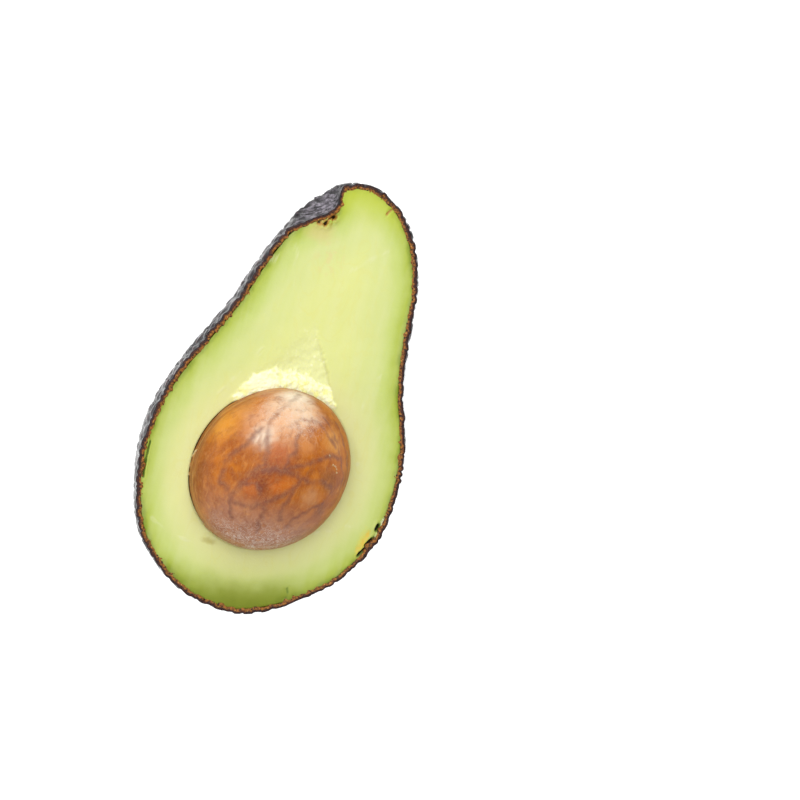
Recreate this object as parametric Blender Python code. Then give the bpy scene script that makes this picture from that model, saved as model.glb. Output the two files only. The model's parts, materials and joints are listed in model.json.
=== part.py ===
"""Half of a ripe Hass-type avocado with its seed, lying on its back with the cut face up.

Three separate pieces: the leathery peel, the flesh that fills it and the seed that sits in the flesh.
The whole fruit is shaped first, with its length along +Y and the cut plane at Z = 0. A knife box then
halves it. The half is tipped to the angle at which it balances, and its lowest point gets a small flat.
Run it with blender --background --python part.py, or from the text editor. Metres, +Z up.
"""

import math

import bmesh
import bpy
from mathutils import Matrix, Vector, noise

MM = 0.001

# The whole fruit, from the blossom end at Y = 0 to the stem end
LENGTH = 106 * MM
PEEL_THICKNESS = 1.3 * MM
FIT_GAP = 0.3 * MM

# Fullness is the half width at mid length of an ellipse as wide as the fruit at this share of its length
FULLNESS = (
    (0.0, 32.2 * MM),
    (0.05, 35.0 * MM),
    (0.12, 36.6 * MM),
    (0.25, 35.1 * MM),
    (0.4, 31.6 * MM),
    (0.55, 26.2 * MM),
    (0.68, 23.1 * MM),
    (0.8, 23.0 * MM),
    (1.0, 22.9 * MM),
)
# The middle line of the cut face swings from the left at the blossom end to the right at the stem end
MIDLINE = (
    (0.0, -5.1 * MM),
    (0.1, -3.4 * MM),
    (0.2, -1.8 * MM),
    (0.35, -1.0 * MM),
    (0.55, -0.1 * MM),
    (0.7, 1.8 * MM),
    (0.85, 3.5 * MM),
    (1.0, 3.6 * MM),
)
# How far the fruit's own axis lies behind the knife cut: at its ends, and how much it bows back between
ENDS_BEHIND_CUT = 0.4 * MM
AXIS_BEHIND_CUT = (1.0 * MM, 5.0 * MM)

# The stem scar is a hollow on the left shoulder of the neck, gentle on its left and steep on its right
SCAR_SHARE = 0.95
SCAR_BEHIND_CUT = 1.5 * MM
SCAR_REACH_LEFT = 12.0 * MM
SCAR_REACH_RIGHT = 5.6 * MM
SCAR_REACH_ACROSS = 9.0 * MM
SCAR_DEPTH = 4.9 * MM
SCAR_INWARD = Vector((0.70, -0.71, 0.05)).normalized()
SCAR_RIGHTWARD = Vector((0.63, 0.77, 0.0)).normalized()

# Pebbles of the peel: the cells of a ball, shifted about and swirled round the fruit. They are about half
# as wide again as in life, so that few faces can hold them
PEBBLE_SEED = 7
PEBBLE_ROWS = 10
PEBBLE_SHIFT = 0.035
PEBBLE_SHIFT_PITCH = 0.16
PEBBLE_SWIRL = 1.8
PEBBLE_HEIGHT = 0.9 * MM
PEBBLE_LOWEST = 0.4
PEBBLE_TOP_WIDTH = 0.58
PEBBLE_SHOULDER = 0.85
PEBBLE_GRAIN = 2.75 * MM
PEBBLE_PATCH = 11.0 * MM
RIDGE_SHARE = 1.1
BASE_SMOOTHING = 0.45

# The seed is a blunt egg, and a little more than half of it stands in the flesh
SEED_CENTRE = Vector((-0.7, 35.7, 0.6)) * MM
SEED_RADII = Vector((19.2, 19.8, 18.6)) * MM
SEED_TAPER = 0.07
SEED_TURN = math.radians(-16)

# The shallow scoop of torn pulp that runs from the seed towards the neck
SCOOP_CENTRE = Vector((-1.2, 56.0, 0.4)) * MM
SCOOP_RADII = Vector((10.5, 14.5, 3.4)) * MM
SCOOP_TAPER = 0.45
SCOOP_TURN = math.radians(-6)

# The nick at the lower right, where the edge of the flesh has come away from the peel
NICK_CENTRE = Vector((27.6, 28.6, 0.2)) * MM
NICK_RADII = Vector((1.3, 3.8, 1.6)) * MM
NICK_TURN = math.radians(-12)

# The half lies as it balances: tipped towards the neck and rolled a little towards the right
REST_PITCH = math.radians(13)
REST_ROLL = math.radians(-1)
REST_FLAT_DEPTH = 0.45 * MM

# Faces round and along each smooth form
INNER_SIDES, INNER_RINGS = 36, 24
SEED_SIDES, SEED_RINGS = 40, 24
SMALL_SIDES, SMALL_RINGS = 32, 16
SHARP_EDGE = math.radians(50)

PEEL_COLOUR = (0.030, 0.016, 0.020, 1.0)
FLESH_COLOUR = (0.680, 0.740, 0.310, 1.0)
SEED_COLOUR = (0.450, 0.150, 0.045, 1.0)
PEEL_ROUGHNESS = 0.38
FLESH_ROUGHNESS = 0.45
SEED_ROUGHNESS = 0.40


def clear_scene():
    for obj in list(bpy.data.objects):
        bpy.data.objects.remove(obj, do_unlink=True)


def new_collection(name):
    made = bpy.data.collections.new(name)
    bpy.context.scene.collection.children.link(made)
    return made


def new_material(name, colour, roughness):
    material = bpy.data.materials.new(name)
    material.use_nodes = True
    shader = material.node_tree.nodes["Principled BSDF"]
    shader.inputs["Base Color"].default_value = colour
    shader.inputs["Roughness"].default_value = roughness
    shader.inputs["Metallic"].default_value = 0.0
    return material


def smooth_between(stations, share):
    """The value at this share of the length, on a smooth curve through the stations."""
    places = [place for place, _ in stations]
    values = [value for _, value in stations]
    last = len(stations) - 1
    i = max(k for k in range(last) if places[k] <= share or k == 0)

    def slope(k):
        before, after = max(k - 1, 0), min(k + 1, last)
        return (values[after] - values[before]) / (places[after] - places[before])

    span = places[i + 1] - places[i]
    t = (share - places[i]) / span
    return (
        values[i] * (2 * t**3 - 3 * t**2 + 1)
        + values[i + 1] * (3 * t**2 - 2 * t**3)
        + slope(i) * span * (t**3 - 2 * t**2 + t)
        + slope(i + 1) * span * (t**3 - t**2)
    )


def unscarred_skin(along, around):
    """A point of the surface. along runs 0 to pi from blossom to stem, around is the angle from +X."""
    share = (1 - math.cos(along)) / 2
    half_width = math.sin(along) * smooth_between(FULLNESS, share)
    blossom, stem = AXIS_BEHIND_CUT
    behind = math.sin(along) * (blossom + (stem - blossom) * share)
    radius = math.hypot(half_width, behind)
    return Vector(
        (
            smooth_between(MIDLINE, share) + radius * math.cos(around),
            LENGTH * share,
            radius * math.sin(around) - behind - ENDS_BEHIND_CUT,
        )
    )


SCAR_CENTRE = unscarred_skin(math.acos(1 - 2 * SCAR_SHARE), math.pi) + Vector((0, 0, -SCAR_BEHIND_CUT))


def skin(along, around):
    """A point of the smooth surface of the fruit, with the stem scar sunk in."""
    point = unscarred_skin(along, around)
    offset = point - SCAR_CENTRE
    rightward = offset.dot(SCAR_RIGHTWARD)
    reach = SCAR_REACH_RIGHT if rightward > 0 else SCAR_REACH_LEFT
    across = (offset - SCAR_RIGHTWARD * rightward).length
    nearness = max(0.0, 1 - (rightward / reach) ** 2 - (across / SCAR_REACH_ACROSS) ** 2)
    return point + SCAR_INWARD * SCAR_DEPTH * nearness**2


def outward(along, around):
    """Outward normal of the smooth surface, from its slopes, and straight along Y at the two ends."""
    step = 1e-3
    if along < step:
        return Vector((0, -1, 0))
    if along > math.pi - step:
        return Vector((0, 1, 0))
    lengthwise = skin(along + step / 2, around) - skin(along - step / 2, around)
    sideways = skin(along, around + step) - skin(along, around - step)
    return lengthwise.cross(sideways).normalized()


def pebble_height(point, along):
    """Height of a pebble here: no two are alike, and they fade towards the blossom end."""
    own_share = 0.5 + 0.5 * noise.cell(point / PEBBLE_GRAIN)
    fade = BASE_SMOOTHING * max(0.0, math.cos(along))
    return PEBBLE_HEIGHT * (1 - fade) * (PEBBLE_LOWEST + (1 - PEBBLE_LOWEST) * own_share)


def shoulder_height(point, along):
    return PEBBLE_SHOULDER * pebble_height(point, along)


def ridge_height(point, along):
    """Height of the ground between pebbles, which in patches rises and joins them into ridges."""
    return PEBBLE_HEIGHT * RIDGE_SHARE * max(0.0, noise.noise(point / PEBBLE_PATCH))


def cell_ball():
    """A ball of small triangles: each corner marks the middle of a pebble, each face where three meet."""
    ball = bmesh.new()
    bmesh.ops.create_icosphere(ball, subdivisions=1, radius=1)
    bmesh.ops.subdivide_edges(ball, edges=ball.edges, cuts=PEBBLE_ROWS - 1, use_grid_fill=True)
    bmesh.ops.triangulate(ball, faces=ball.faces)
    noise.seed_set(PEBBLE_SEED)
    for corner in ball.verts:
        corner.co.normalize()
        corner.co += noise.noise_vector(corner.co / PEBBLE_SHIFT_PITCH) * PEBBLE_SHIFT
        corner.co.normalize()
    return ball


def pebbled_form(name):
    """The whole fruit with its pebbled skin, as one closed mesh object.

    Round the top of each pebble runs a ring of shoulders, and sloping sides join it to the low points.
    """
    ball = cell_ball()
    form = bmesh.new()

    def on_skin(direction, height):
        """The point of the skin in this direction, raised by the height that is asked for there."""
        along = math.acos(max(-1.0, min(1.0, -direction.y)))
        around = math.atan2(direction.z, direction.x) - PEBBLE_SWIRL * direction.y / 2
        point = skin(along, around)
        return form.verts.new(point + outward(along, around) * height(point, along))

    low_places = [face.calc_center_median().normalized() for face in ball.faces]
    low_points = [on_skin(place, ridge_height) for place in low_places]
    ball.faces.index_update()
    for corner in ball.verts:
        meeting = [loop.face.index for loop in corner.link_loops]
        top = on_skin(corner.co, pebble_height)
        shoulders = {}
        for i in meeting:
            place = corner.co.lerp(low_places[i], PEBBLE_TOP_WIDTH).normalized()
            shoulders[i] = on_skin(place, shoulder_height)
        for loop in corner.link_loops:
            i = loop.face.index
            j = loop.link_loop_radial_next.face.index
            form.faces.new((top, shoulders[j], shoulders[i]))
            form.faces.new((shoulders[i], shoulders[j], low_points[j], low_points[i]))
    ball.free()
    bmesh.ops.recalc_face_normals(form, faces=form.faces)
    return mesh_object(name, form)


def smooth_form(name, inset):
    """The whole fruit without relief as one closed mesh object, its surface moved in by inset."""
    form = bmesh.new()
    bmesh.ops.create_uvsphere(form, u_segments=INNER_SIDES, v_segments=INNER_RINGS, radius=1)
    for vertex in form.verts:
        along = math.acos(max(-1.0, min(1.0, -vertex.co.z)))
        around = math.atan2(vertex.co.y, vertex.co.x)
        vertex.co = skin(along, around) - outward(along, around) * inset
    bmesh.ops.recalc_face_normals(form, faces=form.faces)
    return mesh_object(name, form)


def egg_form(name, centre, radii, turn, taper=0.0, grow=0.0, sides=SMALL_SIDES, rings=SMALL_RINGS):
    """An egg, narrower towards +Y by the taper, turned in the cut plane and grown by grow all round."""
    form = bmesh.new()
    bmesh.ops.create_uvsphere(form, u_segments=sides, v_segments=rings, radius=1)
    for vertex in form.verts:
        unit = Vector((vertex.co.x, vertex.co.z, -vertex.co.y))
        narrowing = 1 - taper * unit.y
        vertex.co = Vector(
            (
                unit.x * (radii.x + grow) * narrowing,
                unit.y * (radii.y + grow),
                unit.z * (radii.z + grow) * narrowing,
            )
        )
    placing = Matrix.Translation(centre) @ Matrix.Rotation(turn, 4, "Z")
    bmesh.ops.transform(form, matrix=placing, verts=form.verts)
    bmesh.ops.recalc_face_normals(form, faces=form.faces)
    return mesh_object(name, form)


def seed_form(name, grow=0.0):
    return egg_form(name, SEED_CENTRE, SEED_RADII, SEED_TURN, SEED_TAPER, grow, SEED_SIDES, SEED_RINGS)


def box_form(name, low, high):
    form = bmesh.new()
    bmesh.ops.create_cube(form, size=1)
    for vertex in form.verts:
        vertex.co = Vector([b if corner > 0 else a for a, b, corner in zip(low, high, vertex.co)])
    return mesh_object(name, form)


def mesh_object(name, form):
    mesh = bpy.data.meshes.new(name)
    form.to_mesh(mesh)
    form.free()
    return bpy.data.objects.new(name, mesh)


def cut(obj, cutter, collection):
    """Take the cutter's form out of the object, and keep the cutter as a hidden wire frame."""
    if cutter.name not in collection.objects:
        collection.objects.link(cutter)
        cutter.hide_render = True
        cutter.display_type = "WIRE"
    modifier = obj.modifiers.new("cut by " + cutter.name, "BOOLEAN")
    modifier.operation = "DIFFERENCE"
    modifier.solver = "EXACT"
    modifier.object = cutter


def finish_piece(obj, collection, material):
    collection.objects.link(obj)
    obj.data.materials.append(material)
    obj.data.shade_smooth()
    obj.data.set_sharp_from_angle(angle=SHARP_EDGE)


def lowest_level(tipping):
    """Height of the lowest point of the smooth skin once it is tipped."""
    steps = [math.radians(angle) for angle in range(1, 180)]
    return min((tipping @ skin(along, -around)).z for along in steps for around in steps)


def box_of(objects):
    """The two opposite corners of the box round the finished objects."""
    graph = bpy.context.evaluated_depsgraph_get()
    points = []
    for obj in objects:
        points += [obj.matrix_world @ vertex.co for vertex in obj.evaluated_get(graph).data.vertices]
    low = Vector([min(point[k] for point in points) for k in range(3)])
    high = Vector([max(point[k] for point in points) for k in range(3)])
    return low, high


def main():
    clear_scene()
    pieces = new_collection("avocado_half")
    cutters = new_collection("cutters")

    reach = 2 * LENGTH
    knife = box_form("knife", (-reach, -reach, 0), (reach, reach, reach))
    inside = smooth_form("inside_of_peel", PEEL_THICKNESS)
    cavity = seed_form("seed_cavity", FIT_GAP)
    scoop = egg_form("pulp_scoop", SCOOP_CENTRE, SCOOP_RADII, SCOOP_TURN, SCOOP_TAPER)
    nick = egg_form("edge_nick", NICK_CENTRE, NICK_RADII, NICK_TURN)

    # The floor is cut level with the world, so this cutter isn't tipped with the others
    tipping = Matrix.Rotation(REST_ROLL, 4, "Y") @ Matrix.Rotation(-REST_PITCH, 4, "X")
    floor_level = lowest_level(tipping) + REST_FLAT_DEPTH
    floor_cut = box_form("floor_cut", (-reach, -reach, -reach), (reach, reach, floor_level))

    peel = pebbled_form("peel")
    flesh = smooth_form("flesh", PEEL_THICKNESS + FIT_GAP)
    seed = seed_form("seed")
    for cutter in (knife, inside, floor_cut):
        cut(peel, cutter, cutters)
    for cutter in (knife, cavity, scoop, nick):
        cut(flesh, cutter, cutters)

    finish_piece(peel, pieces, new_material("peel", PEEL_COLOUR, PEEL_ROUGHNESS))
    finish_piece(flesh, pieces, new_material("flesh", FLESH_COLOUR, FLESH_ROUGHNESS))
    finish_piece(seed, pieces, new_material("seed", SEED_COLOUR, SEED_ROUGHNESS))

    tipped = (peel, flesh, seed, knife, inside, cavity, scoop, nick)
    for obj in tipped:
        obj.matrix_world = tipping
    bpy.context.view_layer.update()
    low, high = box_of((peel, flesh, seed))
    settling = Matrix.Translation((-(low.x + high.x) / 2, -(low.y + high.y) / 2, -floor_level))
    for obj in (*tipped, floor_cut):
        obj.matrix_world = settling @ obj.matrix_world


main()
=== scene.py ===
# %% [markdown]
# # Half an avocado with its seed
#
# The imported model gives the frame: where the half lies and how big it is. This file makes the three pieces again
# as they look, peel, flesh and seed, and gives each a finish made only of nodes.

# %% Load the frame
import json
import math

import bmesh
import bpy
from mathutils import Matrix, Vector, kdtree, noise

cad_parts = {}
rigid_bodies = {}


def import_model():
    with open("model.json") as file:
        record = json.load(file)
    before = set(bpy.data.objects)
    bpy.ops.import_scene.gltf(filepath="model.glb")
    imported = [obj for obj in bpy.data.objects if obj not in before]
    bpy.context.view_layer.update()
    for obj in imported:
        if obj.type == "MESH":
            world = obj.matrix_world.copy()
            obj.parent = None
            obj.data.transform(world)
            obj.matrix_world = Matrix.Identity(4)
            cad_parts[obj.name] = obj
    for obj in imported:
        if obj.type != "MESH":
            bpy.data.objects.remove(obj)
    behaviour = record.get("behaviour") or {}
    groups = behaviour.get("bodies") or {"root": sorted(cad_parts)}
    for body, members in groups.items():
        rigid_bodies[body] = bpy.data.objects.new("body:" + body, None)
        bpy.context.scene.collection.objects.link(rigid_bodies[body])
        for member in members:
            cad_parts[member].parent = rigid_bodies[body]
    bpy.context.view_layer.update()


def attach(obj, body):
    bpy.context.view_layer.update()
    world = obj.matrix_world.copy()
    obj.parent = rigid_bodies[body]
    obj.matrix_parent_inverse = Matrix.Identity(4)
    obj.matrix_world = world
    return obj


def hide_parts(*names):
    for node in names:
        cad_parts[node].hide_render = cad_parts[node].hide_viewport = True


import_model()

# %% [markdown]
# The fruit is easiest to shape where its cut is level: Z = 0 is the cut, +Y points to the stem, and one unit is a
# millimetre. Only at the end is each piece laid on its back, by one matrix that turns it as the solids are turned,
# puts it where they are and makes the millimetres metres.

# %% From the fruit's own place to where it lies
MILLIMETRE = 0.001
REST_PITCH = math.radians(-13)
REST_ROLL = math.radians(-1)
REST_PLACE = Vector((0.0008577, -0.0514744, 0.0424959))
TURNED = Matrix.Rotation(REST_ROLL, 4, "Y") @ Matrix.Rotation(REST_PITCH, 4, "X")
LAID = Matrix.Translation(REST_PLACE) @ TURNED @ Matrix.Scale(MILLIMETRE, 4)
print("the cut faces", tuple(round(part, 3) for part in TURNED.to_3x3() @ Vector((0, 0, 1))))

# %% [markdown]
# The camera looks down on the cut from 70 cm through a long lens, 13 degrees from the left and 3 degrees from the
# stem's side, and is rolled so that the fruit leans to the right. It is set first, so that every later look is
# comparable.

# %% Camera
CAMERA_DISTANCE = 700
PICTURE_WIDTH = 188.8
AIM = Vector((24.8, 59.5, 0))
CAMERA_LEFT = math.radians(13)
CAMERA_STEMWARD = math.radians(3)
CAMERA_ROLL = math.radians(16)

toward_camera = Vector((-math.sin(CAMERA_LEFT), math.sin(CAMERA_STEMWARD), math.cos(CAMERA_LEFT))).normalized()
picture_right = Vector((-math.sin(CAMERA_ROLL), math.cos(CAMERA_ROLL), 0)).cross(toward_camera).normalized()
picture_up = toward_camera.cross(picture_right)
camera_place = AIM + toward_camera * CAMERA_DISTANCE

bpy.ops.object.camera_add()
camera = bpy.context.object
camera.name = "camera"
camera.data.sensor_width = 36
camera.data.lens = 36 * CAMERA_DISTANCE / PICTURE_WIDTH
camera.data.clip_end = 20
axes = Matrix((picture_right, picture_up, toward_camera)).transposed()
camera.matrix_world = Matrix.Translation(LAID @ camera_place) @ (TURNED.to_3x3() @ axes).to_4x4()
bpy.context.scene.camera = camera
print("lens", round(camera.data.lens, 1), "mm, camera at", tuple(round(part, 3) for part in LAID @ camera_place))

# %% [markdown]
# A plain pale table glows a little, as a light table does, and soft light comes from all round. One big soft lamp
# stands past the stem end, so that the seed and the bumps of the peel get their gloss from there, as by a window.

# %% Table and light
TABLE_WIDTH = 6
TABLE_GLOW = 0.3
ROOM_LIGHT = 0.85

bpy.ops.mesh.primitive_plane_add(size=TABLE_WIDTH)
table = bpy.context.object
table.name = "table"
table_finish = bpy.data.materials.new("table_white")
table_finish.use_nodes = True
table_shader = table_finish.node_tree.nodes["Principled BSDF"]
for socket, value in (("Base Color", (0.92, 0.92, 0.92, 1)), ("Roughness", 0.9), ("Specular IOR Level", 0.1),
                      ("Emission Color", (1, 1, 1, 1)), ("Emission Strength", TABLE_GLOW)):
    table_shader.inputs[socket].default_value = value
table.data.materials.append(table_finish)

room = bpy.data.worlds.new("pale_room")
room.use_nodes = True
room_light = room.node_tree.nodes["Background"].inputs
room_light["Color"].default_value = (1, 1, 1, 1)
room_light["Strength"].default_value = ROOM_LIGHT
bpy.context.scene.world = room
bpy.context.scene.view_settings.view_transform = "Standard"


def lamp(name, direction, distance, size, watts):
    """A square soft lamp that looks at the middle of the fruit from a direction given in the fruit's place."""
    middle = LAID @ Vector((0, 50, 0))
    away = (TURNED.to_3x3() @ Vector(direction)).normalized()
    bpy.ops.object.light_add(type="AREA", location=middle + away * distance)
    made = bpy.context.object
    made.name = name
    made.rotation_euler = away.to_track_quat("Z", "Y").to_euler()
    made.data.size = size
    made.data.energy = watts


lamp("window", (-0.28, 0.55, 0.78), 1.1, 1.1, 12.0)
lamp("fill", (-0.5, -0.4, 0.75), 1.2, 0.8, 3.6)
print("two soft lamps and a pale room")

# %% [markdown]
# ## The fruit's form
#
# Fullness, middle and depth of the fruit are told at stations from its blossom end (0) to its stem end (1), as for
# the solids. Between them the values run on a smooth curve.

# %% Stations of the form
LENGTH = 106
FULLNESS = ((0, 32.2), (0.05, 35.0), (0.12, 36.6), (0.25, 35.1), (0.4, 31.6), (0.55, 26.2), (0.68, 23.1),
            (0.8, 23.0), (1, 22.9))
MIDLINE = ((0, -5.1), (0.1, -3.4), (0.2, -1.8), (0.35, -1.0), (0.55, -0.1), (0.7, 1.8), (0.85, 3.5), (1, 3.6))
AXIS_BEHIND_CUT = (1.0, 5.0)
ENDS_BEHIND_CUT = 0.4


def smooth_between(stations, share):
    """The value at a share of the length, on a smooth curve through the stations."""
    places = [place for place, _ in stations]
    values = [value for _, value in stations]
    last = len(stations) - 1
    i = max(k for k in range(last) if places[k] <= share or k == 0)

    def slope(k):
        before, after = max(k - 1, 0), min(k + 1, last)
        return (values[after] - values[before]) / (places[after] - places[before])

    span = places[i + 1] - places[i]
    t = (share - places[i]) / span
    return (values[i] * (2 * t**3 - 3 * t**2 + 1) + values[i + 1] * (3 * t**2 - 2 * t**3)
            + slope(i) * span * (t**3 - 2 * t**2 + t) + slope(i + 1) * span * (t**3 - t**2))


def section(along):
    """Middle, distance behind the cut and radius of the round section at an angle along the fruit."""
    share = (1 - math.cos(along)) / 2
    blossom, stem = AXIS_BEHIND_CUT
    behind = math.sin(along) * (blossom + (stem - blossom) * share)
    radius = math.hypot(math.sin(along) * smooth_between(FULLNESS, share), behind)
    return smooth_between(MIDLINE, share), behind + ENDS_BEHIND_CUT, radius


def level(point):
    """The place on the level cut of a point, or of a pair of numbers."""
    return Vector((point[0], point[1], 0))


def ease(low, high, value):
    """0 below low, 1 above high, and a smooth run between."""
    t = min(1.0, max(0.0, (value - low) / (high - low)))
    return t * t * (3 - 2 * t)


print("belly half width", round(section(math.acos(1 - 2 * 0.3))[2], 1), "mm")

# %% [markdown]
# A few small helpers do what a hand does with mouse and keys: take one piece, select some of it, and pull a new
# row out of an open edge.

# %% Helpers for the hand work
def take(piece):
    """Deselects everything and takes one piece in hand."""
    for other in bpy.context.view_layer.objects:
        other.select_set(False)
    bpy.context.view_layer.objects.active = piece
    piece.select_set(True)


def edit(piece):
    take(piece)
    bpy.ops.object.mode_set(mode="EDIT")
    bpy.ops.mesh.select_mode(type="VERT")


def leave():
    bpy.ops.object.mode_set(mode="OBJECT")


def hand():
    """The mesh that is being edited."""
    form = bmesh.from_edit_mesh(bpy.context.object.data)
    form.verts.ensure_lookup_table()
    form.edges.ensure_lookup_table()
    form.faces.ensure_lookup_table()
    return form


def pick(test, kind="verts"):
    """Selects what passes the test and nothing else."""
    bpy.ops.mesh.select_mode(type={"verts": "VERT", "edges": "EDGE"}[kind])
    bpy.ops.mesh.select_all(action="DESELECT")
    form = hand()
    for part in getattr(form, kind):
        if test(part):
            part.select_set(True)
    form.select_flush_mode()
    bmesh.update_edit_mesh(bpy.context.object.data)


def reshape(piece, change):
    """Moves every corner to where change(place, normal) says, all of them read before one is moved."""
    places = [change(corner.co.copy(), corner.normal.copy()) for corner in piece.data.vertices]
    piece.data.vertices.foreach_set("co", [part for place in places for part in place])
    piece.data.update()


def open_edge(form, near_height):
    """The corners of the open edge at a height, in order round the piece."""
    def here(edge):
        return edge.is_boundary and all(abs(v.co.z - near_height) < 0.5 for v in edge.verts)

    start = next(edge for edge in form.edges if here(edge))
    row = [start.verts[0], start.verts[1]]
    edge = start
    while True:
        edge = next(other for other in row[-1].link_edges if here(other) and other is not edge)
        following = edge.other_vert(row[-1])
        if following is row[0]:
            return row
        row.append(following)


def pull(row, place):
    """Extrudes an ordered row of corners and puts each new corner where place(number, old corner) says."""
    where = [v.co.copy() for v in row]
    pairs = {(row[i].index, row[i - 1].index) for i in range(len(row))}
    pairs |= {(b, a) for a, b in pairs}
    pick(lambda edge: (edge.verts[0].index, edge.verts[1].index) in pairs, "edges")
    bpy.ops.mesh.extrude_edges_move()
    form = hand()
    fresh = {tuple(round(c, 5) for c in v.co): v for v in form.verts if v.select}
    new_row = [fresh[tuple(round(c, 5) for c in co)] for co in where]
    for i, v in enumerate(new_row):
        v.co = place(i, where[i])
    bmesh.update_edit_mesh(bpy.context.object.data)
    return new_row


def cut_between(row, new_row, cuts):
    """Cuts the strip between two rows into even rows."""
    old = {v.index for v in row}
    new = {v.index for v in new_row}
    pick(lambda edge: (edge.verts[0].index in old) != (edge.verts[1].index in old)
         and (edge.verts[0].index in new or edge.verts[1].index in new), "edges")
    bpy.ops.mesh.subdivide(number_cuts=cuts)


print("helpers ready")

# %% [markdown]
# The whole fruit starts as a ball as long as the fruit, with its poles at the two ends. Each ring of the ball is
# then picked and scaled to the section of the fruit there, and slid to its middle, as one does by hand from a side
# view. Subdivision rounds it.

# %% The outline's own small bends
BENDS = (  # degrees round the middle of the cut, counted from +X, and millimetres outward
    (6, 0.4), (16, 0.5), (26, 0), (46, 0.1), (56, 0.7), (66, 0.9), (76, 0.45), (86, 0.05), (96, -0.3), (116, -1.0),
    (126, -0.8), (146, -0.6), (156, -0.35), (176, -0.55), (196, -0.75), (226, -1.1), (256, -1.2), (266, -1.0),
    (276, -0.1), (306, 0.3), (316, 0), (331, 0.5), (346, 0), (366, 0.4))
BENDS_MIDDLE = Vector((-3, 44.4, 0))


def bent(point):
    """The point moved as this very fruit's outline bends, most of all near the cut."""
    out = level(point) - BENDS_MIDDLE
    angle = (math.degrees(math.atan2(out.y, out.x)) - BENDS[0][0]) % 360 + BENDS[0][0]
    return point + out.normalized() * smooth_between(BENDS, angle) * ease(-24, -4, point.z)


print("the outline is", -min(mm for _, mm in BENDS), "mm further in at the lower left")

# %% Shaping a ball into the fruit
def fruit_form(name, sides, rings, levels):
    """A whole fruit of smooth skin, rings running from the blossom end to the stem."""
    bpy.ops.mesh.primitive_uv_sphere_add(segments=sides, ring_count=rings, radius=LENGTH / 2,
                                         location=(0, LENGTH / 2, 0), rotation=(math.pi / 2, 0, 0))
    piece = bpy.context.object
    piece.name = name
    bpy.ops.object.transform_apply()
    edit(piece)
    for ring in range(rings + 1):
        along = math.pi * ring / rings
        y = LENGTH / 2 * (1 - math.cos(along))
        middle, behind, radius = section(along)
        pick(lambda v: abs(v.co.y - y) < 0.01)
        if 0 < ring < rings:
            growth = radius / (LENGTH / 2 * math.sin(along))
            bpy.ops.transform.resize(value=(growth, 1, growth), center_override=(0, y, 0))
        bpy.ops.transform.translate(value=(middle, 0, -behind))
    leave()
    rounding = piece.modifiers.new("rounding", "SUBSURF")
    rounding.levels = rounding.render_levels = levels
    bpy.ops.object.modifier_apply(modifier=rounding.name)
    reshape(piece, lambda place, normal: bent(place))
    return piece


# %% [markdown]
# Where the stem sat the skin is drawn in: a hollow on the left shoulder of the neck. Its far wall shows in the
# picture, so skin and flesh both follow it.

# %% The hollow of the stem
SCAR_CENTRE = Vector((-5.15, 99.7, -0.6))
SCAR_REACH_LEFT, SCAR_REACH_RIGHT, SCAR_REACH_ACROSS, SCAR_REACH_BACK = 13.5, 6.7, 6.0, 7.0
SCAR_DEPTH = 4.8
SCAR_INWARD = Vector((0.83, -0.56, 0)).normalized()
SCAR_RIGHTWARD = Vector((0.54, 0.84, 0)).normalized()


def scar_nearness(point):
    """1 in the middle of the stem's hollow, 0 outside it."""
    offset = point - SCAR_CENTRE
    rightward = offset.dot(SCAR_RIGHTWARD)
    reach = SCAR_REACH_RIGHT if rightward > 0 else SCAR_REACH_LEFT
    across = SCAR_RIGHTWARD.x * offset.y - SCAR_RIGHTWARD.y * offset.x
    return max(0.0, 1 - (rightward / reach) ** 2 - (across / SCAR_REACH_ACROSS) ** 2
               - (offset.z / SCAR_REACH_BACK) ** 2)


def dent(point):
    return point + SCAR_INWARD * SCAR_DEPTH * scar_nearness(point) ** 3


def tree_of(places):
    """A tree that quickly finds the nearest of many places."""
    tree = kdtree.KDTree(len(places))
    for i, place in enumerate(places):
        tree.insert(place, i)
    tree.balance()
    return tree


def keep_value(piece, name, values):
    """Stores one number per corner on the piece, for its finish to read."""
    stored = piece.data.attributes.new(name, "FLOAT", "POINT")
    stored.data.foreach_set("value", values)


def keep_below(piece, height):
    """Cuts the fruit at a height and keeps what lies below, to the back."""
    edit(piece)
    bpy.ops.mesh.select_all(action="SELECT")
    bpy.ops.mesh.bisect(plane_co=(0, 0, height), plane_no=(0, 0, 1), clear_outer=True, use_fill=False)


def inward_of(row, reach):
    """For each corner of an ordered row in the cut, the direction into the fruit, smoothed over its neighbours."""
    count = len(row)
    directions = []
    for i in range(count):
        along = row[(i + reach) % count].co - row[i - reach].co
        directions.append(Vector((-along.y, along.x, 0)).normalized())
    middle = sum((v.co for v in row), Vector()) / count
    turned = sum(1 if d.dot(middle - v.co) > 0 else -1 for d, v in zip(directions, row))
    return directions if turned > 0 else [-d for d in directions]


print("hollow of the stem at", tuple(round(part, 1) for part in SCAR_CENTRE))

# %% [markdown]
# ## The peel
#
# The skin is leathery and covered with pebbles 2 to 3 mm apart, which run together into short slanting ridges.
# Cells of uneven size give that: each cell is a dome, the edges between cells are creases, and in patches the
# creases are lifted. They are real relief here, so that the outline and the gloss show them.

# %% Pebbles
SEED_OF_NOISE = 7
PEBBLE_PITCH = 2.75
PEBBLE_HEIGHT = 0.6
SKIN_SUNK = 0.2  # so that the relief rises and falls about the smooth skin
FOLDS_SHIFT = 4.5  # the folds' meeting point, right of the middle of the stem's hollow
noise.seed_set(SEED_OF_NOISE)


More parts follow.
